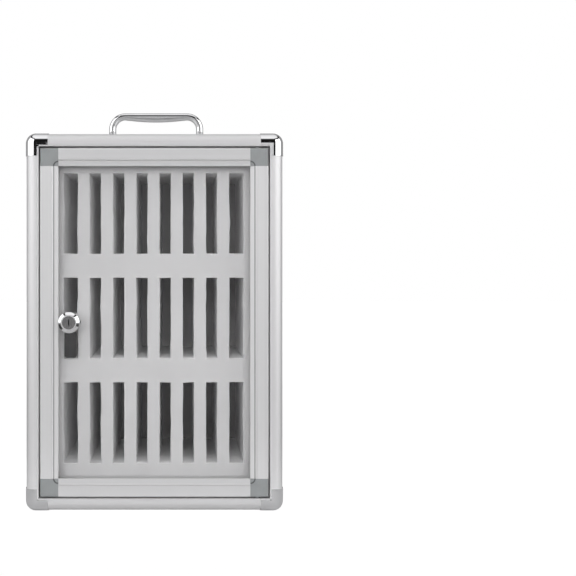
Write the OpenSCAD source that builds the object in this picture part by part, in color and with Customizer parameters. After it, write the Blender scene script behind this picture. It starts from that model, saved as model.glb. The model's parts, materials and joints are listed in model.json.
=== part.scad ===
// Phone locker box: an aluminium-edged case with a lockable clear door and a foam insert of 24 slots.
// The front faces -Y, the width runs along X and the height along Z. The box stands on its lower
// corner caps at z = 0, and the origin is the middle of the footprint, lock face to rear caps.
// The door is shown shut and unlocked: its cam hangs straight down.

/* [Case] */
// Width over the edge rails
case_w = 293; // [285:1:310]
// Depth over the edge rails
case_d = 200; // [180:1:230]
// Height over the edge rails, without the handle
case_h = 430; // [425:1:460]
// Thickness of the five panels
panel_t = 3; // [2.6:0.1:3.4]
// How far the panels lie below the rails' outer faces
panel_inset = 2.2; // [2:0.1:2.6]

/* [Edge rails] */
// Width of a rail's face
rail_face = 15; // [14:0.1:16]
// Outer radius of a rail's rounded edge
rail_r = 11; // [10:0.1:11.5]
// Wall of the hollow front rails and of the door profiles
rail_wall = 1.4; // [1.2:0.1:1.6]
// Thickness of the inner skin behind a panel
rail_skin = 1.3; // [1:0.1:1.5]
// Depth below the outer face at which a panel's groove starts
groove_from = 7.2; // [7:0.1:8]
// Width of the rounded bead along the door opening
bead_w = 1.3; // [1.1:0.1:1.8]
// Width and depth of the fine line beside a bead
line_w = 0.5; // [0.4:0.1:0.7]

/* [Corner caps] */
// Sheet thickness of a cap's arms
cap_t = 0.7; // [0.5:0.1:1]
// Length of an arm from the outer corner, along its rounded edge
cap_arm = 25.5; // [22:0.5:30]
// How much shorter an arm is at its inner edges
cap_slant = 1.8; // [0.6:0.1:4.5]
// Diameter of the pegs that enter the rails
peg_d = 2.5; // [2:0.1:2.7]
// Length of the pegs
peg_len = 10; // [6:0.5:14]

/* [Door] */
// Gap around the door
door_gap = 1.75; // [1.6:0.05:2.2]
// Thickness of the door frame
door_t = 12; // [11.5:0.1:12.5]
// Width of the door frame's face
door_face = 20.6; // [20:0.1:21.5]
// Width of the flat outer band of the door frame
band_w = 12.8; // [12:0.1:13]
// Width of the rounded bead beside that band
door_bead_w = 1.8; // [1.4:0.1:2.2]
// Thickness of the clear pane
pane_t = 2.5; // [2:0.1:3]
// Depth of the pane's front face behind the door's face
pane_depth = 3.7; // [3.5:0.1:3.9]
// Rounding of a corner block's front edges
block_edge_r = 1.5; // [1:0.1:1.9]
// Radius of the quarter-round recess in a corner block
recess_r = 5.2; // [4:0.1:6]
// Distance from the door's hinge edge to its pivot axis
pivot_inset = 12.6; // [12.4:0.1:13.2]
// Diameter of the pivot pins
pin_d = 4; // [3.5:0.1:4.5]
// Outer diameter of the pivot bushes
bush_d = 7; // [6.5:0.1:8]
// Diameter of the thrust boss around each pin
boss_d = 6; // [5.8:0.1:6.5]
// Depth of a pin in its corner block
pin_in_block = 11; // [8:0.5:12]

/* [Lock] */
// Distance from the door's free edge to the lock's axis
lock_inset = 33.25; // [33:0.25:36]
// Height of the lock's face above the door's face
lock_proud = 8.5; // [6:0.5:12]
// Diameter of the bezel's base
bezel_d = 24; // [22:0.5:26]
// Diameter of the bezel's face
bezel_face_d = 17.8; // [16.5:0.1:19]
// Diameter of the threaded barrel
barrel_d = 18; // [17:0.1:19]
// Diameter of the turning plug
plug_d = 11; // [10:0.1:12]
// Width across the flats of the fixing nut
nut_af = 22.6; // [21:0.1:24]
// Thickness of the fixing nut
nut_t = 4.5; // [3.5:0.1:5]
// Width of the cam
cam_w = 14; // [12:0.5:15]
// Length of the cam from the lock's axis
cam_len = 41.5; // [40:0.5:42.5]
// Thickness of the cam
cam_t = 2; // [1.5:0.1:2.5]
// Gap between the door frame's back and the cam
cam_gap = 1.3; // [1.2:0.1:2]
// Side of the square that drives the cam
square_d = 7; // [6:0.1:7.5]
// Height of the keyhole
key_h = 7.6; // [6:0.1:8.4]
// Width of the keyhole
key_w = 1.3; // [1:0.1:1.8]
// Depth of the keyhole
key_depth = 6; // [4:0.5:7]

/* [Foam insert] */
// Depth of the insert's face behind the case's front
insert_front = 26; // [25:0.5:32]
// Width of the six middle slots of a row
slot_w = 12.9; // [11:0.1:14]
// Width of the first and last slot of a row
end_slot_w = 16.3; // [14:0.1:18]
// Height of a slot
slot_h = 93.5; // [80:0.5:98]
// Thickness of the foam between two slots
divider_t = 14.1; // [12:0.1:15]
// Height of the foam between two rows
shelf_t = 28; // [20:0.1:32]
// Thickness of the die-cut face sheet
face_t = 6; // [4:0.5:10]
// Thickness of the sheet behind the slots
back_t = 3; // [2:0.5:6]
// Shift of the slots from the middle of the case, along X
slots_dx = -1.5; // [-3:0.5:3]
// Shift of the slots from the middle of the case, along Z
slots_dz = 3.5; // [-3:0.5:4]

/* [Handle] */
// Width over the handle's legs
handle_w = 116; // [100:1:130]
// Height of the handle above the edge rails
handle_rise = 37; // [34:0.5:46]
// Diameter of the handle's bar
handle_d = 8.7; // [8:0.1:10]
// Extra thickness of the grip on its underside
grip_belly = 2.6; // [1:0.1:4]
// Outer radius of the handle's bends
bend_r = 20; // [16:0.5:26]
// Diameter of the handle's screws
screw_d = 5; // [4:0.1:5.5]
// Depth of the screws in the handle's legs
screw_bite = 12; // [8:0.5:14]

/* [Hidden] */
$fn = 64;

// Clearances
fit = 0.1;
run_fit = 0.05;
press_fit = 0.02;
edge_gap = 0.4;
insert_fit = 0.2;
thrust_gap = 0.3;
screw_room = 3.4;
over = 1;

// Case layout
rows = 3;
columns = 8;
cap_proud = cap_t + fit;
front_y = (lock_proud - case_d - cap_proud) / 2;
rear_y = front_y + case_d;
mid_y = (front_y + rear_y) / 2;
base_z = cap_proud;
top_z = base_z + case_h;
mid_z = (base_z + top_z) / 2;
groove_w = panel_t + 2 * fit;
groove_depth = rail_face - groove_from;
leg_t = panel_inset + groove_w + rail_skin;
hollow_from = leg_t + 0.8;
bead_line = rail_face - bead_w - line_w;
port_at = (leg_t + panel_inset + 1) / 2;
peg_fit_d = peg_d + 2 * run_fit;
cap_face = bead_line;
cap_r = rail_r + cap_proud;

// Door layout
door_w = case_w - 2 * (rail_face + door_gap);
door_h = case_h - 2 * (rail_face + door_gap);
door_top = top_z - rail_face - door_gap;
pane_slot_from = band_w;
pane_edge = band_w + edge_gap;
pane_slot_t = pane_t + 2 * fit;
lip_t = 1.3;
lip_drop = 0.9;
lip_slope = 0.9;
back_lip = band_w + 5;
pivot_x = door_w / 2 - pivot_inset;
pivot_y = front_y + door_t / 2;
lock_x = -door_w / 2 + lock_inset;

// Lock layout, along its axis from the door's face: the front is positive
barrel_end = -(door_t + 0.4);
cam_front = -(door_t + cam_gap);
cam_back = cam_front - cam_t;
pane_front = -pane_depth;
pane_back = pane_front - pane_t;
plug_face = lock_proud - 0.5;
head_d = bezel_face_d - 2.8;
head_t = 1.4;
cam_screw_d = 4;
cam_screw_len = 8;

// Foam layout
foam_x = case_w / 2 - leg_t - insert_fit;
foam_bottom = base_z + leg_t + insert_fit;
foam_top = top_z - leg_t - screw_room;
foam_front = front_y + insert_front;
foam_rear = rear_y - leg_t - insert_fit;
divider_front = foam_front + face_t;
divider_rear = foam_rear - back_t;
slots_w = 2 * end_slot_w + (columns - 2) * slot_w + (columns - 1) * divider_t;
slots_left = slots_dx - slots_w / 2;
slots_h = rows * slot_h + (rows - 1) * shelf_t;
slots_bottom = mid_z + slots_dz - slots_h / 2;
function slot_width(c) = c == 0 || c == columns - 1 ? end_slot_w : slot_w;
function slot_from(c) =
    c == 0 ? slots_left : slots_left + end_slot_w + divider_t + (c - 1) * (slot_w + divider_t);
function row_from(r) = slots_bottom + r * (slot_h + shelf_t);

// Handle layout
handle_r = handle_d / 2;
handle_foot = top_z - panel_inset - fit;
handle_top = top_z + handle_rise;
screw_hole_d = screw_d + 0.4;
washer_d = 14;
washer_t = 1;

// A square that is rounded at the origin's corner
module rounded_corner(r, reach) {
    difference() {
        square(reach);
        difference() {
            square(r);
            translate([r, r]) circle(r);
        }
    }
}

// The groove for a panel's edge, seen along a rail
module panel_groove() {
    translate([panel_inset, groove_from]) square([groove_w, groove_depth + over]);
}

// The round channel that a cap's peg enters
module port() {
    translate([port_at, port_at]) circle(d = peg_fit_d);
}

// Section of the eight edge rails that carry two panels
module edge_section() {
    difference() {
        intersection() {
            rounded_corner(rail_r, rail_face);
            union() {
                square([rail_face, leg_t]);
                square([leg_t, rail_face]);
            }
        }
        panel_groove();
        mirror([1, -1, 0]) panel_groove();
        port();
    }
}

// Section of the four front rails: x runs in from the case's side, y runs back from its front
module front_section() {
    difference() {
        intersection() {
            rounded_corner(rail_r, rail_face);
            union() {
                square([rail_face, door_t]);
                square([leg_t, rail_face]);
            }
        }
        panel_groove();
        port();
        translate([hollow_from, rail_wall])
            square([rail_face - rail_wall - hollow_from, door_t - 2 * rail_wall]);
        translate([bead_line, -over]) square([line_w, over + line_w]);
        bead_rounding();
    }
}

// What is taken off to round the bead at the door opening
module bead_rounding() {
    bead_r = bead_w / 2;
    translate([rail_face - bead_r, 0]) difference() {
        square(bead_r);
        translate([0, bead_r]) circle(bead_r);
    }
}

// Mirror images about the case's middle planes
module flip_x() { mirror([1, 0, 0]) children(); }
module flip_y() { translate([0, 2 * mid_y, 0]) mirror([0, 1, 0]) children(); }
module flip_z() { translate([0, 0, 2 * mid_z]) mirror([0, 0, 1]) children(); }

// Upright rail at the case's left, from its section
module upright_rail() {
    translate([-case_w / 2, front_y, base_z + rail_face])
        linear_extrude(case_h - 2 * rail_face) children();
}

// Cross rail at the case's top, from its section
module cross_rail() {
    translate([rail_face - case_w / 2, front_y, top_z]) rotate([0, 90, 0])
        linear_extrude(case_w - 2 * rail_face) children();
}

// Rail from front to rear along the case's top left edge
module depth_rail() {
    color("gainsboro") translate([-case_w / 2, front_y + rail_face, top_z]) rotate([-90, 0, 0])
        linear_extrude(case_d - 2 * rail_face) edge_section();
}

// Front rail with the hole for a pivot bush
module pivot_rail() {
    color("gainsboro") difference() {
        cross_rail() front_section();
        translate([pivot_x, pivot_y, top_z - rail_face - over])
            cylinder(d = bush_d, h = over + rail_wall + run_fit);
    }
}

module front_left_rail() { color("gainsboro") upright_rail() front_section(); }
module front_right_rail() { flip_x() front_left_rail(); }
module front_top_rail() { pivot_rail(); }
module front_bottom_rail() { flip_z() pivot_rail(); }
module rear_left_rail() { color("gainsboro") flip_y() upright_rail() edge_section(); }
module rear_right_rail() { flip_x() rear_left_rail(); }
module rear_top_rail() { color("gainsboro") flip_y() cross_rail() edge_section(); }
module rear_bottom_rail() { flip_z() rear_top_rail(); }
module top_left_rail() { depth_rail(); }
module top_right_rail() { flip_x() depth_rail(); }
module bottom_left_rail() { flip_z() depth_rail(); }
module bottom_right_rail() { flip_x() flip_z() depth_rail(); }

// Section of a cap's arm, which wraps over a rail
module arm_section() {
    difference() {
        translate([-cap_proud, -cap_proud]) rounded_corner(cap_r, cap_face + cap_proud);
        translate([-fit, -fit]) rounded_corner(rail_r + fit, 2 * rail_face);
    }
}

// Section of a cap's block, between the corner ball and the rails' ends
module block_section() {
    translate([-cap_proud, -cap_proud]) rounded_corner(cap_r, cap_face + cap_proud);
    rounded_corner(rail_r, rail_face);
}

// One arm with its end cut back towards both inner edges, as seen along the x axis
module cap_arm_solid() {
    slope = cap_slant / rail_face;
    intersection() {
        translate([0, 0, rail_face]) linear_extrude(cap_arm - rail_face) arm_section();
        for (swap = [0, 1]) mirror(swap == 1 ? [1, -1, 0] : [0, 0, 0])
            translate([0, 2 * rail_face, 0]) rotate([90, 0, 0]) linear_extrude(3 * rail_face)
                polygon([
                    [-cap_proud, 0], [rail_face, 0],
                    [rail_face, cap_arm - cap_slant], [-cap_proud, cap_arm + slope * cap_proud]
                ]);
    }
}

// A cap in its own corner: x, y and z run inwards from the case's three outer faces. A rear cap
// also takes the back panel and leaves room for the insert's corner.
module corner_cap(rear) {
    color("silver") difference() {
        union() {
            translate([rail_r, rail_r, rail_r]) rotate([0, 0, 180]) rotate_extrude(angle = 90)
                intersection() {
                    circle(cap_r);
                    translate([0, -cap_r]) square(cap_r);
                }
            for (turn = [0, 120, 240]) rotate(turn, [1, 1, 1]) {
                translate([0, 0, rail_r]) linear_extrude(rail_face - rail_r) block_section();
                cap_arm_solid();
                translate([port_at, port_at, rail_face - over])
                    cylinder(d = peg_d, h = peg_len + over);
            }
        }
        cap_slot(0);
        cap_slot(240);
        if (rear) {
            cap_slot(120);
            translate([leg_t, leg_t, leg_t]) cube(rail_face);
        }
    }
}

// The notch for a panel's corner, for the panel that is square to x after the turn
module cap_slot(turn) {
    rotate(turn, [1, 1, 1]) translate([panel_inset, groove_from, groove_from])
        cube([groove_w, rail_face, rail_face]);
}

// A cap of the case's bottom left corner
module front_cap() { translate([-case_w / 2, front_y, base_z]) corner_cap(false); }
module rear_cap() { flip_y() translate([-case_w / 2, front_y, base_z]) corner_cap(true); }
module cap_front_bottom_left() { front_cap(); }
module cap_front_bottom_right() { flip_x() front_cap(); }
module cap_front_top_left() { flip_z() front_cap(); }
module cap_front_top_right() { flip_x() flip_z() front_cap(); }
module cap_rear_bottom_left() { rear_cap(); }
module cap_rear_bottom_right() { flip_x() rear_cap(); }
module cap_rear_top_left() { flip_z() rear_cap(); }
module cap_rear_top_right() { flip_x() flip_z() rear_cap(); }

// Panels, with their edges short of the grooves' floors
panel_edge = groove_from + edge_gap;

module left_panel() {
    color("lightgray")
        translate([-case_w / 2 + panel_inset + fit, front_y + panel_edge, base_z + panel_edge])
            cube([panel_t, case_d - 2 * panel_edge, case_h - 2 * panel_edge]);
}

module right_panel() { flip_x() left_panel(); }

module flat_panel() {
    translate([-case_w / 2 + panel_edge, front_y + panel_edge, top_z - panel_inset - fit - panel_t])
        cube([case_w - 2 * panel_edge, case_d - 2 * panel_edge, panel_t]);
}

module top_panel() {
    color("lightgray") difference() {
        flat_panel();
        at_handle_legs() translate([0, 0, handle_foot - panel_t - over])
            cylinder(d = screw_hole_d, h = panel_t + 2 * over);
    }
}

module bottom_panel() { color("lightgray") flip_z() flat_panel(); }

module back_panel() {
    color("lightgray")
        translate([-case_w / 2 + panel_edge, rear_y - panel_inset - fit - panel_t, base_z + panel_edge])
            cube([case_w - 2 * panel_edge, panel_t, case_h - 2 * panel_edge]);
}

// Places a shape under both legs of the handle
module at_handle_legs() {
    for (side = [-1, 1]) translate([side * (handle_w / 2 - handle_r), mid_y, 0]) children();
}

// The handle is swept: each step is [x, z, angle of the path, belly]
handle_mid_x = handle_w / 2 - bend_r;
bend_mid_r = bend_r - handle_r;
bend_steps = 8;
grip_steps = 24;
handle_sides = 32;
handle_path = concat(
    [[handle_r - handle_w / 2, handle_foot, 90, 0]],
    [for (i = [0:bend_steps])
        let (a = 180 - 90 * i / bend_steps)
        [-handle_mid_x + bend_mid_r * cos(a), handle_top - bend_r + bend_mid_r * sin(a), a - 90, 0]],
    [for (i = [1:grip_steps - 1])
        let (x = handle_mid_x * (2 * i / grip_steps - 1))
        [x, handle_top - handle_r, 0, grip_belly * cos(90 * x / handle_mid_x)]],
    [for (i = [0:bend_steps])
        let (a = 90 - 90 * i / bend_steps)
        [handle_mid_x + bend_mid_r * cos(a), handle_top - bend_r + bend_mid_r * sin(a), a - 90, 0]],
    [[handle_w / 2 - handle_r, handle_foot, -90, 0]]
);

// Points of one ring: round, with the belly added on the side that faces the case
function handle_ring(p) = [
    for (i = [0:handle_sides - 1])
        let (
            a = 360 * i / handle_sides,
            across = handle_r * cos(a),
            up = sin(a) * (sin(a) < 0 ? handle_r + p[3] : handle_r)
        )
        [p[0] - up * sin(p[2]), mid_y + across, p[1] + up * cos(p[2])]
];

module handle() {
    rings = len(handle_path);
    points = [for (p = handle_path) each handle_ring(p)];
    side_faces = [
        for (r = [0:rings - 2], i = [0:handle_sides - 1])
            let (
                j = (i + 1) % handle_sides,
                a = r * handle_sides + i,
                b = r * handle_sides + j,
                c = a + handle_sides,
                d = b + handle_sides
            )
            each [[a, b, c], [b, d, c]]
    ];
    start_face = [for (i = [handle_sides - 1:-1:0]) i];
    end_face = [for (i = [0:handle_sides - 1]) (rings - 1) * handle_sides + i];
    color("silver") difference() {
        polyhedron(points, concat([start_face, end_face], side_faces));
        at_handle_legs() translate([0, 0, handle_foot - over])
            cylinder(d = screw_d + 2 * fit, h = screw_bite + edge_gap + over);
    }
}

module handle_washers() {
    color("silver") at_handle_legs() difference() {
        translate([0, 0, handle_foot - panel_t - washer_t]) cylinder(d = washer_d, h = washer_t);
        translate([0, 0, handle_foot - panel_t - washer_t - over])
            cylinder(d = screw_hole_d, h = washer_t + 2 * over);
    }
}

module handle_screws() {
    head_top = handle_foot - panel_t - washer_t;
    screw_head_t = screw_room - washer_t - insert_fit;
    color("silver") at_handle_legs() {
        translate([0, 0, head_top - screw_head_t]) difference() {
            cylinder(d1 = 1.6 * screw_d, d2 = 1.8 * screw_d, h = screw_head_t);
            cross_recess(screw_d, screw_head_t / 2);
        }
        translate([0, 0, head_top]) cylinder(d = screw_d, h = panel_t + washer_t + screw_bite);
    }
}

// A cross recess in the face of a screw's head, which lies at z = 0
module cross_recess(size, depth) {
    for (turn = [0, 90]) rotate([0, 0, turn])
        translate([-size / 2, -size / 10, -over]) cube([size, size / 5, depth + over]);
}

// The windows of all slots, as a flat shape in x and z
module slot_windows() {
    for (r = [0:rows - 1], c = [0:columns - 1])
        translate([slot_from(c), row_from(r)]) square([slot_width(c), slot_h]);
}

module slot_face() {
    color("silver") translate([0, divider_front, 0]) rotate([90, 0, 0]) linear_extrude(face_t)
        difference() {
            translate([-foam_x, foam_bottom]) square([2 * foam_x, foam_top - foam_bottom]);
            slot_windows();
        }
}

// A block of foam behind the face sheet, from x0 to x1 and from z0 to z1
module foam_block(x0, x1, z0, z1) {
    translate([x0, divider_front, z0]) cube([x1 - x0, divider_rear - divider_front, z1 - z0]);
}

module foam_shelves() {
    color("silver") for (r = [0:rows])
        foam_block(
            -foam_x, foam_x,
            r == 0 ? foam_bottom : row_from(r - 1) + slot_h,
            r == rows ? foam_top : row_from(r)
        );
}

// The uprights of one row, with the side blocks at both ends
module row_dividers(r) {
    color("silver") for (c = [0:columns])
        foam_block(
            c == 0 ? -foam_x : slot_from(c - 1) + slot_width(c - 1),
            c == columns ? foam_x : slot_from(c),
            row_from(r), row_from(r) + slot_h
        );
}

module top_row_dividers() { row_dividers(2); }
module middle_row_dividers() { row_dividers(1); }
module bottom_row_dividers() { row_dividers(0); }

module back_pad() {
    color("gray") translate([-foam_x, divider_rear, foam_bottom])
        cube([2 * foam_x, back_t, foam_top - foam_bottom]);
}

// A bush in the hollow of the front top rail, and its twin below
module pivot_bush() {
    translate([pivot_x, pivot_y, top_z - rail_face]) difference() {
        cylinder(d = bush_d - 2 * press_fit, h = rail_face - hollow_from - run_fit);
        translate([0, 0, -over]) cylinder(d = pin_d + 2 * run_fit, h = rail_face);
    }
}

module pivot_bushes() {
    color("dimgray") {
        pivot_bush();
        flip_z() pivot_bush();
    }
}

// Section of the door's profiles: x runs in from the door's edge, y runs back from its face
module door_section() {
    edge_r = 1;
    lip_from = band_w + door_bead_w;
    difference() {
        union() {
            rounded_corner(edge_r, door_t);
            translate([edge_r, 0]) square([band_w - edge_r, door_t]);
            door_bead();
            polygon([
                [band_w, lip_drop], [lip_from, lip_drop], [door_face, lip_drop + lip_slope],
                [door_face, pane_depth - fit], [band_w, pane_depth - fit]
            ]);
            translate([band_w, pane_depth + pane_t + fit]) square([back_lip - band_w, lip_t]);
        }
        translate([rail_wall, rail_wall])
            square([band_w - 2 * rail_wall, door_t - 2 * rail_wall]);
        translate([band_w - line_w, -over]) square([line_w, over + line_w]);
    }
}

// The rounded bead between the flat band and the lip
module door_bead() {
    bead_r = door_bead_w / 2;
    translate([band_w, bead_r]) square([door_bead_w, bead_r]);
    translate([band_w + bead_r, bead_r]) circle(bead_r);
}

module door_lock_stile() {
    color("gainsboro") translate([-door_w / 2, front_y, mid_z - door_h / 2 + door_face])
        linear_extrude(door_h - 2 * door_face) door_section();
}

module door_hinge_stile() { flip_x() door_lock_stile(); }

module door_top_rail() {
    color("gainsboro") translate([door_face - door_w / 2, front_y, door_top]) rotate([0, 90, 0])
        linear_extrude(door_w - 2 * door_face) door_section();
}

module door_bottom_rail() { flip_z() door_top_rail(); }

// Corner block of the door: x and z run inwards from the door's edges, y runs back from its face
module door_corner() {
    tenon = 14;
    inset = rail_wall + fit;
    tenon_w = band_w - 2 * inset;
    tenon_t = door_t - 2 * inset;
    round_r = 2;
    color("darkgray") difference() {
        union() {
            difference() {
                intersection() {
                    translate([0, door_t, 0]) rotate([90, 0, 0]) linear_extrude(door_t)
                        rounded_corner(round_r, door_face);
                    corner_edge();
                    mirror([1, 0, -1]) corner_edge();
                }
                corner_recess();
            }
            translate([door_face - over, inset, inset]) cube([tenon + over, tenon_t, tenon_w]);
            translate([inset, inset, door_face - over]) cube([tenon_w, tenon_t, tenon + over]);
        }
        translate([pane_slot_from, pane_depth - fit, pane_slot_from])
            cube([door_face, pane_slot_t, door_face]);
    }
}

// A block whose one front edge is rounded: the edge that runs along z
module corner_edge() {
    linear_extrude(door_face) rounded_corner(block_edge_r, door_face);
}

// The quarter-round recess at a corner block's inner corner, with a rounded rim
module corner_recess() {
    translate([door_face, -over, door_face]) rotate([-90, 0, 0])
        cylinder(r = recess_r, h = over + lip_drop);
    translate([door_face, 0, door_face]) rotate([90, 0, 0])
        rotate_extrude() translate([recess_r + door_bead_w, 0]) circle(line_w / 2, $fn = 24);
}

// Corner block on the hinge side, with its thrust boss and the hole for its pin
module pivot_corner() {
    difference() {
        union() {
            door_corner();
            color("darkgray") translate([pivot_inset, door_t / 2, -(door_gap - thrust_gap)])
                cylinder(d = boss_d, h = door_gap - thrust_gap + over);
        }
        translate([pivot_inset, door_t / 2, -door_gap])
            cylinder(d = pin_d + 2 * press_fit, h = door_gap + pin_in_block);
    }
}

// Moves a corner block to the door's bottom left corner
module at_door_corner() {
    translate([-door_w / 2, front_y, mid_z - door_h / 2]) children();
}

module door_corner_bottom_left() { at_door_corner() door_corner(); }
module door_corner_top_left() { flip_z() at_door_corner() door_corner(); }
module door_corner_bottom_right() { flip_x() at_door_corner() pivot_corner(); }
module door_corner_top_right() { flip_x() flip_z() at_door_corner() pivot_corner(); }

module pivot_pin() {
    pin_top = top_z - hollow_from - thrust_gap;
    pin_bottom = door_top - pin_in_block;
    translate([pivot_x, pivot_y, pin_bottom]) cylinder(d = pin_d, h = pin_top - pin_bottom);
}

module pivot_pins() {
    color("silver") {
        pivot_pin();
        flip_z() pivot_pin();
    }
}

// Places a shape on the lock's axis, with z = 0 at the door's face and +z to the front
module on_lock_axis() {
    translate([lock_x, front_y, mid_z]) rotate([90, 0, 0]) children();
}

module window_pane() {
    pane_w = door_w - 2 * pane_edge;
    pane_h = door_h - 2 * pane_edge;
    color("lightcyan", 0.35) difference() {
        translate([-pane_w / 2, front_y + pane_depth, mid_z - pane_h / 2])
            cube([pane_w, pane_t, pane_h]);
        on_lock_axis() translate([0, 0, pane_back - over])
            cylinder(d = barrel_d + 2 * fit, h = pane_t + 2 * over);
    }
}

// Housing of the lock: a tapered bezel in front of the pane and a barrel through it
module lock_housing() {
    base_r = bezel_d / 2;
    face_r = bezel_face_d / 2;
    barrel_r = barrel_d / 2;
    rim = 0.6;
    shoulder = lock_proud - 2.4;
    color("silver") on_lock_axis() difference() {
        rotate_extrude() difference() {
            polygon([
                [0, barrel_end], [barrel_r - 0.5, barrel_end], [barrel_r, barrel_end + 0.5],
                [barrel_r, pane_front], [base_r, pane_front], [base_r, shoulder - 0.4],
                [base_r - 0.4, shoulder], [face_r + 0.3, lock_proud - 0.2],
                [face_r, lock_proud], [0, lock_proud]
            ]);
            translate([0, plug_face - run_fit]) square([face_r - rim, lock_proud]);
        }
        translate([0, 0, barrel_end - over]) cylinder(d = plug_d + 2 * run_fit, h = 3 * door_t);
        translate([0, 0, plug_face - head_t - fit]) cylinder(d = head_d + 2 * run_fit, h = door_t);
    }
}

module lock_nut() {
    color("gray") on_lock_axis() translate([0, 0, pane_back - nut_t]) difference() {
        intersection() {
            cylinder(d = nut_af / cos(30), h = nut_t, $fn = 6);
            cylinder(d1 = nut_af / cos(30) - 1.2, d2 = nut_af / cos(30) + 2 * nut_t, h = nut_t);
        }
        translate([0, 0, -over]) cylinder(d = barrel_d + 2 * run_fit, h = nut_t + 2 * over);
    }
}

// The plug turns in the housing and drives the cam with its square end
module lock_plug() {
    color("lightgray") on_lock_axis() difference() {
        union() {
            translate([0, 0, cam_front]) cylinder(d = plug_d, h = plug_face - cam_front);
            translate([0, 0, plug_face - head_t]) cylinder(d = head_d, h = head_t);
            translate([-square_d / 2, -square_d / 2, cam_back])
                cube([square_d, square_d, cam_t + over]);
        }
        translate([-key_w / 2, -key_h / 2, plug_face - key_depth])
            cube([key_w, key_h, key_depth + over]);
        translate([0, 0, cam_back - over])
            cylinder(d = cam_screw_d + 2 * run_fit, h = cam_screw_len + over + edge_gap);
    }
}

// The cam hangs down when the lock is open
module lock_cam() {
    tip_r = 3;
    color("dimgray") on_lock_axis() translate([0, 0, cam_back]) difference() {
        union() {
            cylinder(d = cam_w, h = cam_t);
            translate([-cam_w / 2, tip_r - cam_len, 0]) cube([cam_w, cam_len - tip_r, cam_t]);
            translate([tip_r - cam_w / 2, -cam_len, 0]) cube([cam_w - 2 * tip_r, tip_r, cam_t]);
            for (side = [-1, 1]) translate([side * (cam_w / 2 - tip_r), tip_r - cam_len, 0])
                cylinder(r = tip_r, h = cam_t);
        }
        translate([-square_d / 2 - fit, -square_d / 2 - fit, -over])
            cube([square_d + 2 * fit, square_d + 2 * fit, cam_t + 2 * over]);
    }
}

module cam_screw() {
    screw_head_d = 10.6;
    screw_head_t = 2.2;
    color("silver") on_lock_axis() translate([0, 0, cam_back]) {
        translate([0, 0, -screw_head_t]) difference() {
            cylinder(d1 = 0.85 * screw_head_d, d2 = screw_head_d, h = screw_head_t);
            cross_recess(screw_head_d / 2, screw_head_t / 2);
        }
        cylinder(d = cam_screw_d, h = cam_screw_len);
    }
}

front_left_rail();
front_right_rail();
front_top_rail();
front_bottom_rail();
rear_left_rail();
rear_right_rail();
rear_top_rail();
rear_bottom_rail();
top_left_rail();
top_right_rail();
bottom_left_rail();
bottom_right_rail();
cap_front_bottom_left();
cap_front_bottom_right();
cap_front_top_left();
cap_front_top_right();
cap_rear_bottom_left();
cap_rear_bottom_right();
cap_rear_top_left();
cap_rear_top_right();
left_panel();
right_panel();
top_panel();
bottom_panel();
back_panel();
handle();
handle_washers();
handle_screws();
slot_face();
foam_shelves();
top_row_dividers();
middle_row_dividers();
bottom_row_dividers();
back_pad();
pivot_bushes();
door_lock_stile();
door_hinge_stile();
door_top_rail();
door_bottom_rail();
door_corner_top_left();
door_corner_bottom_left();
door_corner_top_right();
door_corner_bottom_right();
window_pane();
pivot_pins();
lock_housing();
lock_nut();
lock_plug();
lock_cam();
cam_screw();
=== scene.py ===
import json
import math
import random

import bmesh
import bpy
import numpy as np
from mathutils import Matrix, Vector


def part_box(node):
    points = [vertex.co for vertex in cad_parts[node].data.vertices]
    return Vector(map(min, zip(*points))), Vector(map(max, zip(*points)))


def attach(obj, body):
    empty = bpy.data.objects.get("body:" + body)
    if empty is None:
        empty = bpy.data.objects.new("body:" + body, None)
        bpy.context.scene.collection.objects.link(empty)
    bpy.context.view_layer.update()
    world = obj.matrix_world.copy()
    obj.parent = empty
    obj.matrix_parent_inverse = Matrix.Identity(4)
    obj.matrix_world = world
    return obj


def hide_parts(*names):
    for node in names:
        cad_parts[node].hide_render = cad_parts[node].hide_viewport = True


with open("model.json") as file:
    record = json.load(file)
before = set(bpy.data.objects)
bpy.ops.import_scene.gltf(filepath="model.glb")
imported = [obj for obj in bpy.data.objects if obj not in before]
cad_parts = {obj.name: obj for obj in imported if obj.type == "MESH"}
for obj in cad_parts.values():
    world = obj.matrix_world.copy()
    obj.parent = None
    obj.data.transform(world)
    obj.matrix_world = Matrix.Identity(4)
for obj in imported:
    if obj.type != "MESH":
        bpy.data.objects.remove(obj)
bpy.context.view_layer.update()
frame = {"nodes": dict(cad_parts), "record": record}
record = frame["record"]
nodes = frame["nodes"]
slots_of = {s["node"]: s["material_slot"] for s in record["subparts"]}
scene = bpy.context.scene

# Camera, which looks level along Y and gets the photograph's framing from its shift
EYE = (0.0269, -1.2462, 0.2843)
SENSOR_MM, LENS_MM = 36, 63.3
SHIFT = (0.191, -0.045)
CLIP = (0.01, 200)
camera_data = bpy.data.cameras.new("camera")
camera_data.sensor_width = SENSOR_MM
camera_data.lens = LENS_MM
camera_data.shift_x, camera_data.shift_y = SHIFT
camera_data.clip_start, camera_data.clip_end = CLIP
camera = bpy.data.objects.new("camera", camera_data)
camera.location = EYE
camera.rotation_euler = (math.radians(90), 0, 0)
scene.collection.objects.link(camera)
scene.camera = camera


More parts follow.
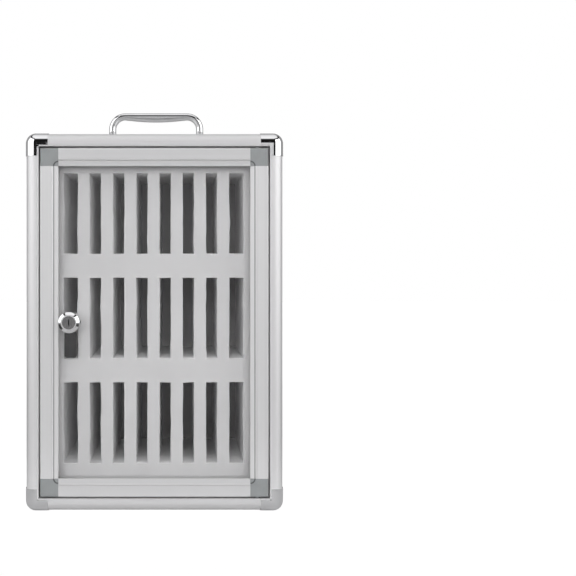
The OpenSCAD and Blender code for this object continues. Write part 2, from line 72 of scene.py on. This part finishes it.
# Node helpers
class Tree:
    """A node tree with short calls for the nodes that the materials and the studio share."""

    def __init__(self, owner):
        owner.use_nodes = True
        self.tree = owner.node_tree
        self.tree.nodes.clear()

    def new(self, kind, **settings):
        node = self.tree.nodes.new(kind)
        for key, value in settings.items():
            setattr(node, key, value)
        return node

    def put(self, value, socket):
        """Links value to the socket, or sets it there if it is a plain number or colour."""
        if isinstance(value, bpy.types.NodeSocket):
            self.tree.links.new(value, socket)
        else:
            socket.default_value = value

    def math(self, operation, a, b=0.0, c=0.0):
        node = self.new("ShaderNodeMath", operation=operation)
        for value, socket in zip((a, b, c), node.inputs):
            self.put(value, socket)
        return node.outputs[0]

    def plus(self, a, b):
        return self.math("ADD", a, b)

    def minus(self, a, b):
        return self.math("SUBTRACT", a, b)

    def times(self, a, b):
        return self.math("MULTIPLY", a, b)

    def size(self, a):
        return self.math("ABSOLUTE", a)

    def shared(self, first, share, second):
        """The two added, with the given share of the first."""
        return self.math("MULTIPLY_ADD", first, share, self.times(second, 1 - share))

    def step(self, value, low, high, to_low=0.0, to_high=1.0):
        """Goes smoothly from to_low to to_high as value goes from low to high."""
        node = self.new("ShaderNodeMapRange", interpolation_type="SMOOTHSTEP")
        for v, name in ((value, "Value"), (low, "From Min"), (high, "From Max"),
                        (to_low, "To Min"), (to_high, "To Max")):
            self.put(v, node.inputs[name])
        return node.outputs["Result"]

    def split(self, vector):
        """The three parts of a vector."""
        node = self.new("ShaderNodeSeparateXYZ")
        self.put(vector, node.inputs[0])
        return node.outputs[0], node.outputs[1], node.outputs[2]

    def scaled(self, vector, scale):
        node = self.new("ShaderNodeMapping")
        self.put(vector, node.inputs["Vector"])
        node.inputs["Scale"].default_value = scale
        return node.outputs[0]

    def noise(self, vector, scale, detail, rough=0.5):
        node = self.new("ShaderNodeTexNoise")
        self.put(vector, node.inputs["Vector"])
        node.inputs["Scale"].default_value = scale
        node.inputs["Detail"].default_value = detail
        node.inputs["Roughness"].default_value = rough
        return node.outputs["Fac"]

    def cells(self, vector, scale):
        node = self.new("ShaderNodeTexVoronoi", feature="F1")
        self.put(vector, node.inputs["Vector"])
        node.inputs["Scale"].default_value = scale
        return node.outputs["Distance"]

    def tone(self, fac, dark, light, low=0.3, high=0.7):
        """A colour between dark and light, where fac goes from low to high."""
        node = self.new("ShaderNodeValToRGB")
        self.put(fac, node.inputs[0])
        node.color_ramp.elements[0].position = low
        node.color_ramp.elements[1].position = high
        node.color_ramp.elements[0].color = (*dark, 1)
        node.color_ramp.elements[1].color = (*light, 1)
        return node.outputs[0]

    def darken(self, colour, mask, tone):
        """colour, multiplied by a grey where mask is 1."""
        node = self.new("ShaderNodeMix", data_type="RGBA", blend_type="MULTIPLY")
        self.put(mask, node.inputs[0])
        self.put(colour, node.inputs[6])
        self.put((tone, tone, tone, 1), node.inputs[7])
        return node.outputs[2]

    def bump(self, height, strength, distance):
        node = self.new("ShaderNodeBump")
        self.put(height, node.inputs["Height"])
        node.inputs["Strength"].default_value = strength
        node.inputs["Distance"].default_value = distance
        return node.outputs[0]

    def mix(self, share, first, second):
        """A shader that goes from the first to the second as share goes from 0 to 1."""
        node = self.new("ShaderNodeMixShader")
        for value, socket in zip((share, first, second), node.inputs):
            self.put(value, socket)
        return node.outputs[0]

    def finish(self, shader, kind="ShaderNodeOutputMaterial"):
        self.put(shader, self.new(kind).inputs["Surface"])


def material(name, build):
    """A Principled material whose sockets are what build(tree, object coordinates) returns."""
    mat = bpy.data.materials.new(name)
    tree = Tree(mat)
    shader = tree.new("ShaderNodeBsdfPrincipled")
    tree.finish(shader.outputs[0])
    where = tree.new("ShaderNodeTexCoord").outputs["Object"]
    for key, value in build(tree, where).items():
        tree.put(value, shader.inputs[key])
    return mat


def grey(v, warm=0.0):
    return (v * (1 + warm), v, v * (1 - warm))


# Materials, whose noise scales are waves per metre and whose bump distances are metres
def extruded(axis, base, rough):
    """Satin anodised aluminium with fine lines along one axis."""
    fine, slow, cloud, cloud_along = 900.0, 1.0, 26.0, 1.2
    grain_scale, grain_share, line_depth = 4200.0, 0.35, 0.00002
    line_share, dark, rough_spread = 0.75, 0.955, 0.05
    line_scale = [slow if a == axis else fine for a in "xyz"]
    cloud_scale = [cloud_along if a == axis else cloud for a in "xyz"]

    def build(tree, where):
        lines = tree.noise(tree.scaled(where, line_scale), 1.0, detail=3.0, rough=0.6)
        clouds = tree.noise(tree.scaled(where, cloud_scale), 1.0, detail=2.0)
        grain = tree.noise(where, grain_scale, detail=1.0)
        both = tree.shared(lines, line_share, clouds)
        height = tree.math("MULTIPLY_ADD", grain, grain_share, lines)
        return {
            "Base Color": tree.tone(both, grey(base * dark, warm=0.002), grey(base, warm=-0.002)),
            "Metallic": 0.62,
            "Roughness": tree.step(both, 0.25, 0.75, rough - rough_spread, rough + rough_spread),
            "Normal": tree.bump(height, strength=0.35, distance=line_depth),
        }

    return build


def chrome(base, rough):
    """Polished plating: slow waves in the sheet and faint hairlines."""
    wave_scale, wave_depth, hair_scale = 55.0, 0.0004, (1500.0, 1500.0, 60.0)
    dark, light, smooth, hairy = 0.95, 1.02, 0.7, 1.6

    def build(tree, where):
        waves = tree.noise(where, wave_scale, detail=1.0)
        hairs = tree.noise(tree.scaled(where, hair_scale), 1.0, detail=2.0)
        return {
            "Base Color": tree.tone(waves, grey(base * dark, warm=-0.004), grey(base * light, warm=-0.004)),
            "Metallic": 1.0,
            "Roughness": tree.step(hairs, 0.45, 0.75, rough * smooth, rough * hairy),
            "Normal": tree.bump(waves, strength=0.25, distance=wave_depth),
        }

    return build


def sheet_metal(tree, where):
    """Silver panel sheet with a fine brushed grain up the panel and a soft mottle."""
    brush_scale, cloud_scale, brush_depth = (1400.0, 1400.0, 14.0), 9.0, 0.00003
    brush_share, dark, light, smooth, rough = 0.5, 0.66, 0.74, 0.38, 0.5
    brushed = tree.noise(tree.scaled(where, brush_scale), 1.0, detail=3.0, rough=0.65)
    mottle = tree.noise(where, cloud_scale, detail=3.0)
    both = tree.shared(brushed, brush_share, mottle)
    return {
        "Base Color": tree.tone(both, grey(dark), grey(light, warm=-0.004)),
        "Metallic": 1.0,
        "Roughness": tree.step(both, 0.25, 0.75, smooth, rough),
        "Normal": tree.bump(brushed, strength=0.3, distance=brush_depth),
    }


def foam_look(light, dark):
    """Closed-cell foam: fine cells, pores and a soft mottle between two greys."""
    cell_scale, pore_scale, mottle_scale, cell_depth = 1500.0, 2600.0, 16.0, 0.00018
    pore_share, mottle_share = 0.6, 0.7

    def build(tree, where):
        cell = tree.cells(where, cell_scale)
        pores = tree.noise(where, pore_scale, detail=2.0, rough=0.6)
        mottle = tree.noise(where, mottle_scale, detail=3.0)
        height = tree.math("MULTIPLY_ADD", pores, pore_share, cell)
        patchy = tree.shared(mottle, mottle_share, pores)
        return {
            "Base Color": tree.tone(patchy, grey(dark), grey(light), 0.32, 0.62),
            "Roughness": 0.92,
            "Specular IOR Level": 0.22,
            "Normal": tree.bump(height, strength=0.4, distance=cell_depth),
        }

    return build


def moulded(base, rough):
    """Injection-moulded plastic with a fine spark-eroded texture."""
    spark_scale, flow_scale, spark_depth = 2600.0, 60.0, 0.00004
    darker, lighter, rough_spread = 0.94, 1.04, 0.06
    dark, light = [tuple(v * k for v in base) for k in (darker, lighter)]

    def build(tree, where):
        fine = tree.noise(where, spark_scale, detail=2.0, rough=0.6)
        flow = tree.noise(where, flow_scale, detail=2.0)
        return {
            "Base Color": tree.tone(flow, dark, light, 0.35, 0.65),
            "Roughness": tree.step(fine, 0.3, 0.7, rough - rough_spread, rough + rough_spread),
            "Normal": tree.bump(fine, strength=0.5, distance=spark_depth),
        }

    return build


# Painted shade lines in the door's grooves: how far outside the door's opening they lie, their share and
# core, and each one's end and tone
RECESS_R = 0.0052
SHADE_LINE_SHARE = 0.8
SHADE_LINE_CORE = 0.0003
BLOCK_SHADE_END, BLOCK_SHADE_TONE = 0.0009, 0.12
STILE_SHADE_END, STILE_SHADE_TONE = 0.0008, 0.3


def beyond_opening(tree, where):
    """How far a point of the door lies outside its opening, sideways and up or down."""
    left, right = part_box("door_lock_stile")[1][0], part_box("door_hinge_stile")[0][0]
    bottom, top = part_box("door_bottom_rail")[1][2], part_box("door_top_rail")[0][2]
    x, _, z = tree.split(where)
    beyond = []
    for value, low, high in ((x, left, right), (z, bottom, top)):
        from_middle = tree.size(tree.minus(value, float(low + high) / 2))
        beyond.append(tree.minus(from_middle, float(high - low) / 2))
    return beyond


def with_painted_shade(tree, look, distance, end, tone):
    """A look with painted shade: its colour is dark where distance is the recess radius, and plain past end
    from there.
    """
    off_line = tree.size(tree.minus(distance, RECESS_R))
    # The dark line is painted shade, standing for the shadow in the groove's angle.
    shade_line = tree.step(off_line, SHADE_LINE_CORE, end, SHADE_LINE_SHARE, 0.0)
    look["Base Color"] = tree.darken(look["Base Color"], shade_line, tone)
    return look


def block_plastic(tree, where):
    """Grey moulding of the door's corner blocks, with painted shade in the angle of the quarter-round recess.
    """
    base, rough = (0.307, 0.323, 0.324), 0.48
    across, up = beyond_opening(tree, where)
    reach = tree.math("SQRT", tree.plus(tree.times(across, across), tree.times(up, up)))
    look = moulded(base, rough)(tree, where)
    return with_painted_shade(tree, look, reach, BLOCK_SHADE_END, BLOCK_SHADE_TONE)


def stile_metal(tree, where):
    """Satin aluminium of the upright door members, with painted shade in the angle beside the bead."""
    across, _ = beyond_opening(tree, where)
    look = extruded("z", TONES_WITH_PAINTED_SHADE["z"], SATIN)(tree, where)
    return with_painted_shade(tree, look, across, STILE_SHADE_END, STILE_SHADE_TONE)


def plated(base, rough, metallic=1.0):
    """Small steel parts: a plated skin with turned lines and uneven tone."""
    tone_scale, scratch_scale, scratch_depth = 420.0, (5200.0, 300.0, 1200.0), 0.00003
    dark, light, smoother, rougher = 0.88, 1.06, 0.07, 0.09

    def build(tree, where):
        uneven = tree.noise(where, tone_scale, detail=3.0)
        scratches = tree.noise(tree.scaled(where, scratch_scale), 1.0, detail=2.0)
        return {
            "Base Color": tree.tone(uneven, grey(base * dark), grey(base * light)),
            "Metallic": metallic,
            "Roughness": tree.step(scratches, 0.3, 0.7, rough - smoother, rough + rougher),
            "Normal": tree.bump(scratches, strength=0.3, distance=scratch_depth),
        }

    return build


def lock_face(tree, where):
    """Turned face of the plug, with painted shade inside the keyhole."""
    hole_starts, hole_deep, hole_half, hole_edge, keyhole_shade_tone = 0.0002, 0.001, 0.0007, 0.0008, 0.03
    base, rough = 0.3, 0.24
    low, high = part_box("lock_plug")
    face_y, lock_x = float(low[1]), float(low[0] + high[0]) / 2
    x, y, _ = tree.split(where)
    inside = tree.step(y, face_y + hole_starts, face_y + hole_deep)
    beside = tree.size(tree.minus(x, lock_x))
    keyhole_shade = tree.times(inside, tree.step(beside, hole_half, hole_edge, 1.0, 0.0))
    look = plated(base, rough)(tree, where)
    look["Base Color"] = tree.darken(look["Base Color"], keyhole_shade, keyhole_shade_tone)
    return look


def clear_sheet(name):
    """Clear acrylic that lets lamps through to what is behind it."""
    smear_scale, smear_rough = 35.0, 0.02
    mat = bpy.data.materials.new(name)
    tree = Tree(mat)
    shader = tree.new("ShaderNodeBsdfPrincipled")
    where = tree.new("ShaderNodeTexCoord").outputs["Object"]
    shader.inputs["Base Color"].default_value = (0.99, 0.99, 0.99, 1)
    shader.inputs["Transmission Weight"].default_value = 1.0
    shader.inputs["IOR"].default_value = 1.45
    shader.inputs["Specular IOR Level"].default_value = 0.3
    smear = tree.step(tree.noise(where, smear_scale, detail=3.0), 0.4, 0.8, 0.0, smear_rough)
    tree.put(smear, shader.inputs["Roughness"])
    through = tree.new("ShaderNodeBsdfTransparent")
    through.inputs["Color"].default_value = (0.97, 0.97, 0.97, 1)
    path = tree.new("ShaderNodeLightPath")
    light = tree.math("MAXIMUM", path.outputs["Is Shadow Ray"], path.outputs["Is Diffuse Ray"])
    tree.finish(tree.mix(light, shader.outputs[0], through.outputs[0]))
    return mat


# Painted shade: metal whose lines run sideways gets a darker base colour than the rest, for the dimmer light
# its lines reflect
TONES_WITH_PAINTED_SHADE = {"x": 0.768, "y": 0.862, "z": 0.862}
SATIN = 0.5
ALUMINIUM = {a: material(f"satin_aluminium_{a}", extruded(a, TONES_WITH_PAINTED_SHADE[a], SATIN)) for a in "xyz"}
DOOR_ALUMINIUM = {"x": material("door_aluminium_x", extruded("x", TONES_WITH_PAINTED_SHADE["x"], SATIN)),
                  "z": material("door_aluminium_z", stile_metal)}
CHROME = material("polished_chrome", chrome(0.88, 0.03))
HANDLE_CHROME = material("handle_chrome", chrome(0.82, 0.05))
PANEL = material("panel_sheet", sheet_metal)
FOAM = material("grey_foam", foam_look(0.765, 0.705))
# The cut walls are the same foam as the face, made lighter: painted light for light that seeps through the
# foam and bounces deep into the slots
FOAM_CUT_PAINTED_LIGHT = material("grey_foam_cut", foam_look(0.985, 0.965))
# The back sheet is the same foam made dark: painted shade for the depth of the slots
FOAM_BACK_PAINTED_SHADE = material("grey_foam_back", foam_look(0.4, 0.36))
BLOCK = material("grey_block_plastic", block_plastic)
BUSH = material("dark_bush_plastic", moulded((0.03, 0.03, 0.03), 0.4))
CLEAR = clear_sheet("clear_acrylic")
ZINC = material("zinc_steel", plated(0.62, 0.3))
CYLINDER = material("lock_face_metal", lock_face)
BLACK_STEEL = material("black_steel", plated(0.02, 0.42, 0.3))

LOOKS = {
    "chrome": CHROME, "panel": PANEL, "foam": FOAM, "grey_plastic": BLOCK,
    "dark_plastic": BUSH, "clear_pane": CLEAR, "zinc_steel": ZINC, "dark_steel": BLACK_STEEL,
}


def long_axis(node):
    low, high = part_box(node)
    size = high - low
    return "xyz"[max(range(3), key=lambda i: size[i])]


def look_of(node):
    """The material of a CAD node, by its slot, and for aluminium by the way its lines run."""
    if node == "lock_plug":
        return CYLINDER
    if slots_of[node] == "aluminium":
        family = DOOR_ALUMINIUM if node.startswith("door_") else ALUMINIUM
        return family[long_axis(node)]
    return LOOKS[slots_of[node]]


for name, obj in nodes.items():
    look = look_of(name)
    if len(obj.data.materials) == 0:
        obj.data.materials.append(look)
    for i in range(len(obj.data.materials)):
        obj.data.materials[i] = look


# Mesh helpers
def mesh_object(name, mesh, mats):
    for mat in mats:
        mesh.materials.append(mat)
    obj = bpy.data.objects.new(name, mesh)
    scene.collection.objects.link(obj)
    return obj


def listed_object(name, verts, faces, mats):
    """An object from lists of points and faces."""
    mesh = bpy.data.meshes.new(name)
    mesh.from_pydata(verts, [], faces)
    mesh.update()
    return mesh_object(name, mesh, mats)


def built_object(name, bm, mats):
    """An object from a finished bmesh."""
    mesh = bpy.data.meshes.new(name)
    bm.to_mesh(mesh)
    bm.free()
    return mesh_object(name, mesh, mats)


# Foam insert, whose faces look to the front or back where their normal's Y passes FACING
OPENING_CLEAR = 0.0005
SAME_PLACE = 1e-4
FACE_WOBBLE, CORE_WOBBLE = 0.00045, 0.0003
FACE_SEED, CORE_SEED, BACK_SEED = 11, 23, 5
RIM = 0.0005
LEVEL_SHARE, LEVEL_SPAN = 0.8, 0.2
FACING = 0.9
openings = [o["box_m"] for o in record["physics"]["openings"] if o["name"].startswith("slot_")]
columns = sorted({round(b[0][0], 5) for b in openings})
rows_z = sorted({round(b[0][2], 5) for b in openings})
COLUMNS, ROWS = len(columns), len(rows_z)


def slot_box(c, r):
    """Left, right, bottom and top of one slot."""
    for (x0, _, z0), (x1, _, z1) in openings:
        if abs(x0 - columns[c]) < SAME_PLACE and abs(z0 - rows_z[r]) < SAME_PLACE:
            return (x0 - OPENING_CLEAR, x1 + OPENING_CLEAR, z0 - OPENING_CLEAR, z1 + OPENING_CLEAR)


def spread(lines, counts):
    """Values that run through lines, with the given number of steps between each two."""
    values, marks = [lines[0]], [0]
    for a, b, n in zip(lines, lines[1:], counts):
        values += [a + (b - a) * k / n for k in range(1, n + 1)]
        marks.append(len(values) - 1)
    return np.array(values), marks


def fill(values, a, b):
    """Runs values evenly from the one at a to the one at b."""
    for i in range(a + 1, b):
        share = (i - a) / (b - a)
        values[i] = values[a] * (1 - share) + values[b] * share


def hand_cut(rng, size):
    """A gently wandering line with one small step, as a knife leaves it, over 0 to 1."""
    parts = [(rng.uniform(-1, 1) * size / (k + 1), rng.uniform(0.6, 1.5) * (k + 1), rng.uniform(0, 6.3))
             for k in range(3)]
    lean = rng.uniform(-0.6, 0.6) * size
    at, jump = rng.uniform(0.2, 0.8), rng.uniform(-0.8, 0.8) * size
    full_turn, steepness = 6.2832, 45

    def line(along):
        wave = sum(a * math.sin(full_turn * f * along + p) for a, f, p in parts)
        return wave + lean * (along - 0.5) + jump / (1 + math.exp(-(along - at) * steepness)) - jump / 2

    return line


def cut_shifts(rng, wobble, x_marks, z_marks):
    """Sideways shifts that start at the upright edges of the windows, and up or down at the level ones."""
    shape = (x_marks[-1] + 1, z_marks[-1] + 1)
    dx, dz = np.zeros(shape), np.zeros(shape)
    for i in x_marks[1:-1]:
        for r in range(ROWS):
            a, b = z_marks[2 * r + 1], z_marks[2 * r + 2]
            line = hand_cut(rng, wobble)
            for j in range(a, b + 1):
                dx[i, j] = line((j - a) / (b - a))
        for r in range(ROWS + 1):
            fill(dx[i], z_marks[2 * r], z_marks[2 * r + 1])
    for j in z_marks[1:-1]:
        for c in range(COLUMNS):
            a, b = x_marks[2 * c + 1], x_marks[2 * c + 2]
            line = hand_cut(rng, wobble * LEVEL_SHARE)
            for i in range(a, b + 1):
                dz[i, j] = line((i - a) / (b - a) * LEVEL_SPAN)
        for c in range(1, COLUMNS):
            fill(dz[:, j], x_marks[2 * c], x_marks[2 * c + 1])
    for a, b in zip(x_marks, x_marks[1:]):
        fill(dx, a, b)
    for a, b in zip(z_marks, z_marks[1:]):
        fill(dz.T, a, b)
    return dx, dz


def cut_sheet(name, body, low, high, wobble, seed, mats, rim):
    """A foam sheet from low to high with a hand-cut window for each slot, and softened front rims."""
    rng = random.Random(seed)
    x_lines, z_lines = [low.x], [low.z]
    for c in range(COLUMNS):
        x_lines += slot_box(c, 0)[:2]
    for r in range(ROWS):
        z_lines += slot_box(0, r)[2:]
    x_lines.append(high.x)
    z_lines.append(high.z)
    across_steps, window_steps, between_steps = 4, 30, 6
    on_front, wall = 1e-6, 0.5
    xs, x_marks = spread(x_lines, [across_steps] * (len(x_lines) - 1))
    zs, z_marks = spread(z_lines, [window_steps if i % 2 else between_steps for i in range(len(z_lines) - 1)])
    dx, dz = cut_shifts(rng, wobble, x_marks, z_marks)

    def is_window(i, j):
        in_x = any(x_marks[2 * c + 1] <= i < x_marks[2 * c + 2] for c in range(COLUMNS))
        in_z = any(z_marks[2 * r + 1] <= j < z_marks[2 * r + 2] for r in range(ROWS))
        return in_x and in_z

    bm = bmesh.new()
    grid = {}

    def point(i, j):
        if (i, j) not in grid:
            grid[i, j] = bm.verts.new((xs[i] + dx[i, j], low.y, zs[j] + dz[i, j]))
        return grid[i, j]

    for i in range(len(xs) - 1):
        for j in range(len(zs) - 1):
            if not is_window(i, j):
                bm.faces.new((point(i, j), point(i + 1, j), point(i + 1, j + 1), point(i, j + 1)))
    front = list(bm.faces)
    made = bmesh.ops.extrude_face_region(bm, geom=front, use_keep_orig=True)
    for v in made["geom"]:
        if isinstance(v, bmesh.types.BMVert):
            v.co.y = high.y
    bmesh.ops.recalc_face_normals(bm, faces=bm.faces)
    if rim:
        edges = [
            e for e in bm.edges
            if all(abs(v.co.y - low.y) < on_front for v in e.verts)
            and any(abs(f.normal.y) < wall for f in e.link_faces)
        ]
        bmesh.ops.bevel(bm, geom=edges, offset=rim, offset_type="OFFSET", segments=2,
                        profile=0.5, affect="EDGES", clamp_overlap=True)
    for f in bm.faces:
        f.material_index = 0 if abs(f.normal.y) > FACING else 1
    obj = built_object(name, bm, mats)
    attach(obj, body)
    return obj


face_low, face_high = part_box("slot_face")
foam_face = cut_sheet("foam_face_sheet", "case", face_low, face_high, FACE_WOBBLE, FACE_SEED,
                      [FOAM, FOAM_CUT_PAINTED_LIGHT], RIM)
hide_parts("slot_face")

core_low, core_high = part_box("foam_shelves")
foam_core = cut_sheet("foam_core", "case", core_low, core_high, CORE_WOBBLE, CORE_SEED,
                      [FOAM_CUT_PAINTED_LIGHT, FOAM_CUT_PAINTED_LIGHT], 0)
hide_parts("foam_shelves", "top_row_dividers", "middle_row_dividers",
            "bottom_row_dividers")


def soft_slab(name, low, high, steps, dent, seed):
    """A closed slab whose front face is softly uneven."""
    rng = random.Random(seed)
    nx, nz = steps
    hill_count, full_lump = 14, 3
    bm = bmesh.new()
    layers = []
    hills = [(rng.uniform(0, 1), rng.uniform(0, 1), rng.uniform(0.1, 0.3)) for _ in range(hill_count)]
    for is_back in (False, True):
        layer = []
        for i in range(nx + 1):
            for j in range(nz + 1):
                u, v = i / nx, j / nz
                lump = sum(math.exp(-((u - a) ** 2 + (v - b) ** 2) / s ** 2) for a, b, s in hills)
                inside = min(u, 1 - u, v, 1 - v) > 0
                y = high.y if is_back else low.y + (dent * min(1.0, lump / full_lump) if inside else dent)
                layer.append(bm.verts.new((low.x + (high.x - low.x) * u, y,
                                           low.z + (high.z - low.z) * v)))
        layers.append(layer)

    def at(s, i, j):
        return layers[s][i * (nz + 1) + j]

    for s in (0, 1):
        for i in range(nx):
            for j in range(nz):
                bm.faces.new((at(s, i, j), at(s, i + 1, j), at(s, i + 1, j + 1), at(s, i, j + 1)))
    for i in range(nx):
        for j in (0, nz):
            bm.faces.new((at(0, i, j), at(0, i + 1, j), at(1, i + 1, j), at(1, i, j)))
    for j in range(nz):
        for i in (0, nx):
            bm.faces.new((at(0, i, j), at(0, i, j + 1), at(1, i, j + 1), at(1, i, j)))
    bmesh.ops.recalc_face_normals(bm, faces=bm.faces)
    obj = built_object(name, bm, [FOAM_BACK_PAINTED_SHADE])
    obj.data.polygons.foreach_set("use_smooth", [abs(p.normal.y) > FACING for p in obj.data.polygons])
    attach(obj, "case")
    return obj


BACK_STEPS, BACK_DENT = (40, 60), 0.0004
pad_low, pad_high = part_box("back_pad")
foam_back = soft_slab("foam_back_sheet", pad_low, pad_high, BACK_STEPS, BACK_DENT, BACK_SEED)
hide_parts("back_pad")


# Handle
handle_low, handle_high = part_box("handle")
HANDLE_R = (handle_high.y - handle_low.y) / 2
BEND_R = 0.020
BELLY = 0.0026


def handle_path():
    """Points along the bar's middle, as x, z, its turn in degrees and the swelling below it."""
    half = (handle_high.x - handle_low.x) / 2
    top = handle_high.z
    flat = half - BEND_R
    mid = BEND_R - HANDLE_R
    bend_steps, grip_steps = 24, 72

    def bend(centre, start):
        angles = [math.radians(start - 90 * i / bend_steps) for i in range(bend_steps + 1)]
        return [(centre + mid * math.cos(a), top - BEND_R + mid * math.sin(a), math.degrees(a) - 90, 0.0)
                for a in angles]

    grip_x = [flat * (2 * i / grip_steps - 1) for i in range(1, grip_steps)]
    grip = [(x, top - HANDLE_R, 0.0, BELLY * math.cos(math.pi / 2 * x / flat)) for x in grip_x]
    return [(HANDLE_R - half, handle_low.z, 90.0, 0.0), *bend(-flat, 180), *grip, *bend(flat, 90),
            (half - HANDLE_R, handle_low.z, -90.0, 0.0)]


def handle_sweep(name):
    """The carrying handle: a round bar with two bends and a grip that swells below."""
    sides = 64
    y = (handle_low.y + handle_high.y) / 2
    path = handle_path()
    verts, faces = [], []
    for px, pz, turn, belly in path:
        s, c = math.sin(math.radians(turn)), math.cos(math.radians(turn))
        for k in range(sides):
            a = 2 * math.pi * k / sides
            across = HANDLE_R * math.cos(a)
            up = math.sin(a) * (HANDLE_R + (belly if math.sin(a) < 0 else 0.0))
            verts.append((px - up * s, y + across, pz + up * c))
    rings = len(path)
    for r in range(rings - 1):
        for k in range(sides):
            n = (k + 1) % sides
            faces.append((r * sides + k, r * sides + n, (r + 1) * sides + n, (r + 1) * sides + k))
    faces.append(tuple(range(sides)))
    faces.append(tuple((rings - 1) * sides + k for k in reversed(range(sides))))
    obj = listed_object(name, verts, faces, [HANDLE_CHROME])
    obj.data.polygons.foreach_set("use_smooth", [len(p.vertices) == 4 for p in obj.data.polygons])
    bm = bmesh.new()
    bm.from_mesh(obj.data)
    bmesh.ops.recalc_face_normals(bm, faces=bm.faces)
    bm.to_mesh(obj.data)
    bm.free()
    return obj


handle = handle_sweep("handle_bar")
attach(handle, "case")
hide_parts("handle")


# Floor, with painted light and shade in its colour: pale near the box against the box's own shadow, dark in a
# ring around it and pale again far off, for what the metal reflects; and white to the camera
NEAR_TONE, RING_TONE, FAR_TONE = 0.78, 0.05, 0.6
NEAR_FROM, NEAR_TO = 0.23, 0.3
FAR_FROM, FAR_TO = 0.6, 1.6
OVAL = (0.75, 1.0, 1.0)
SEEN_STRENGTH, SEEN_SHARE = 1.16, 0.86
FLOOR_HALF, FLOOR_Z = 6.0, -1e-4
floor_mat = bpy.data.materials.new("pale_floor")
ground = Tree(floor_mat)
floor_shader = ground.new("ShaderNodeBsdfPrincipled")
away = ground.new("ShaderNodeVectorMath", operation="LENGTH")
ground.put(ground.scaled(ground.new("ShaderNodeTexCoord").outputs["Object"], OVAL), away.inputs[0])
near = ground.step(away.outputs["Value"], NEAR_FROM, NEAR_TO, NEAR_TONE, RING_TONE)
far = ground.step(away.outputs["Value"], FAR_FROM, FAR_TO, 0.0, FAR_TONE)
ground.put(ground.plus(near, far), floor_shader.inputs["Base Color"])
floor_shader.inputs["Roughness"].default_value = 0.7
floor_shader.inputs["Specular IOR Level"].default_value = 0.2
seen = ground.new("ShaderNodeEmission")
seen.inputs["Color"].default_value = (1, 1, 1, 1)
seen.inputs["Strength"].default_value = SEEN_STRENGTH
to_camera = ground.times(ground.new("ShaderNodeLightPath").outputs["Is Camera Ray"], SEEN_SHARE)
ground.finish(ground.mix(to_camera, floor_shader.outputs[0], seen.outputs[0]))
corners = [(x * FLOOR_HALF, y * FLOOR_HALF, FLOOR_Z) for x, y in ((-1, -1), (1, -1), (1, 1), (-1, 1))]
floor = listed_object("floor", corners, [(0, 1, 2, 3)], [floor_mat])

# Studio, with azimuth and elevation in degrees: 0, 0 is straight in front of the box
DEGREES = 57.2958
world = bpy.data.worlds.new("studio")
scene.world = world
room = Tree(world)
to_x, to_y, to_z = room.split(room.new("ShaderNodeTexCoord").outputs["Generated"])
azimuth = room.times(room.math("ARCTAN2", to_x, room.times(to_y, -1.0)), DEGREES)
elevation = room.times(room.math("ARCSINE", to_z), DEGREES)


def patch(left, right, bottom, top, soft):
    """1 inside a window of azimuth and elevation, 0 outside."""
    value = room.step(azimuth, left - soft, left + soft)
    value = room.times(value, room.step(azimuth, right - soft, right + soft, 1, 0))
    value = room.times(value, room.step(elevation, bottom - soft, bottom + soft))
    return room.times(value, room.step(elevation, top - soft, top + soft, 1, 0))


def lay(level, mask, value):
    """level outside the mask, value inside it."""
    return room.plus(room.times(level, room.minus(1.0, mask)), room.times(mask, value))


# What mirrors show: a sky in front and a dim room behind the box, and a ceiling over both
SKY, BEHIND, CEILING, REAR_CEILING = 0.8, 0.33, 1.0, 0.75
level = room.step(room.size(azimuth), 96, 104, SKY, BEHIND)
level = lay(level, room.step(elevation, 56, 61), room.step(to_y, -0.2, 0.3, CEILING, REAR_CEILING))
# Two softboxes, a dark gap over each and one between them, as left, right, bottom, top, softness and level
LEFT_BOX, RIGHT_BOX, DARK = 1.55, 1.95, 0.01
WINDOWS = (
    (-98, -23, -12, 49, 1.5, LEFT_BOX),
    (28, 94, -12, 42, 1.5, RIGHT_BOX),
    (-135, -20, 49, 60, 2, DARK),
    (20, 135, 42, 53, 2, DARK),
    (-23, 28, -2, 50, 1.5, DARK),
)
for *window, window_level in WINDOWS:
    level = lay(level, patch(*window), window_level)
# The room around the camera, dim below and lighter above
ROOM_WINDOW = (-6.7, 7, -90, 10, 0.4)
ROOM_LOW, ROOM_HIGH = 0.4, 0.68
level = lay(level, patch(*ROOM_WINDOW), room.step(elevation, -6, 9, ROOM_LOW, ROOM_HIGH))

# What lights matt things: a faint fill, a lamp around the camera and one above it
# forward goes from -1 straight behind the box to 1 straight in front of it
REAR_FILL, FRONT_FILL, FRONT_LAMP, UPPER_LAMP = 0.4, 0.5, 5.7, 0.3
LAMP_FROM, LAMP_TO = 0.9, 0.96
UPPER_FROM, UPPER_TO = 28, 45
forward = room.times(to_y, -1.0)
wash = room.step(forward, -0.2, 0.4, REAR_FILL, FRONT_FILL)
wash = room.plus(wash, room.times(room.step(forward, LAMP_FROM, LAMP_TO), FRONT_LAMP))
above = room.times(room.step(elevation, UPPER_FROM, UPPER_TO), room.step(forward, 0.0, 0.3))
wash = room.plus(wash, room.times(above, UPPER_LAMP))
path = room.new("ShaderNodeLightPath")
studio = room.new("ShaderNodeBackground")
room.put(lay(wash, path.outputs["Is Glossy Ray"], level), studio.inputs["Strength"])
studio.inputs["Color"].default_value = (1.003, 0.997, 1.01, 1)
plain = room.new("ShaderNodeBackground")
plain.inputs["Color"].default_value = (1, 1, 1, 1)
plain.inputs["Strength"].default_value = 1.0
surroundings = room.mix(path.outputs["Is Camera Ray"], studio.outputs[0], plain.outputs[0])
room.finish(surroundings, "ShaderNodeOutputWorld")

scene.view_settings.view_transform = "Standard"
scene.view_settings.look = "None"
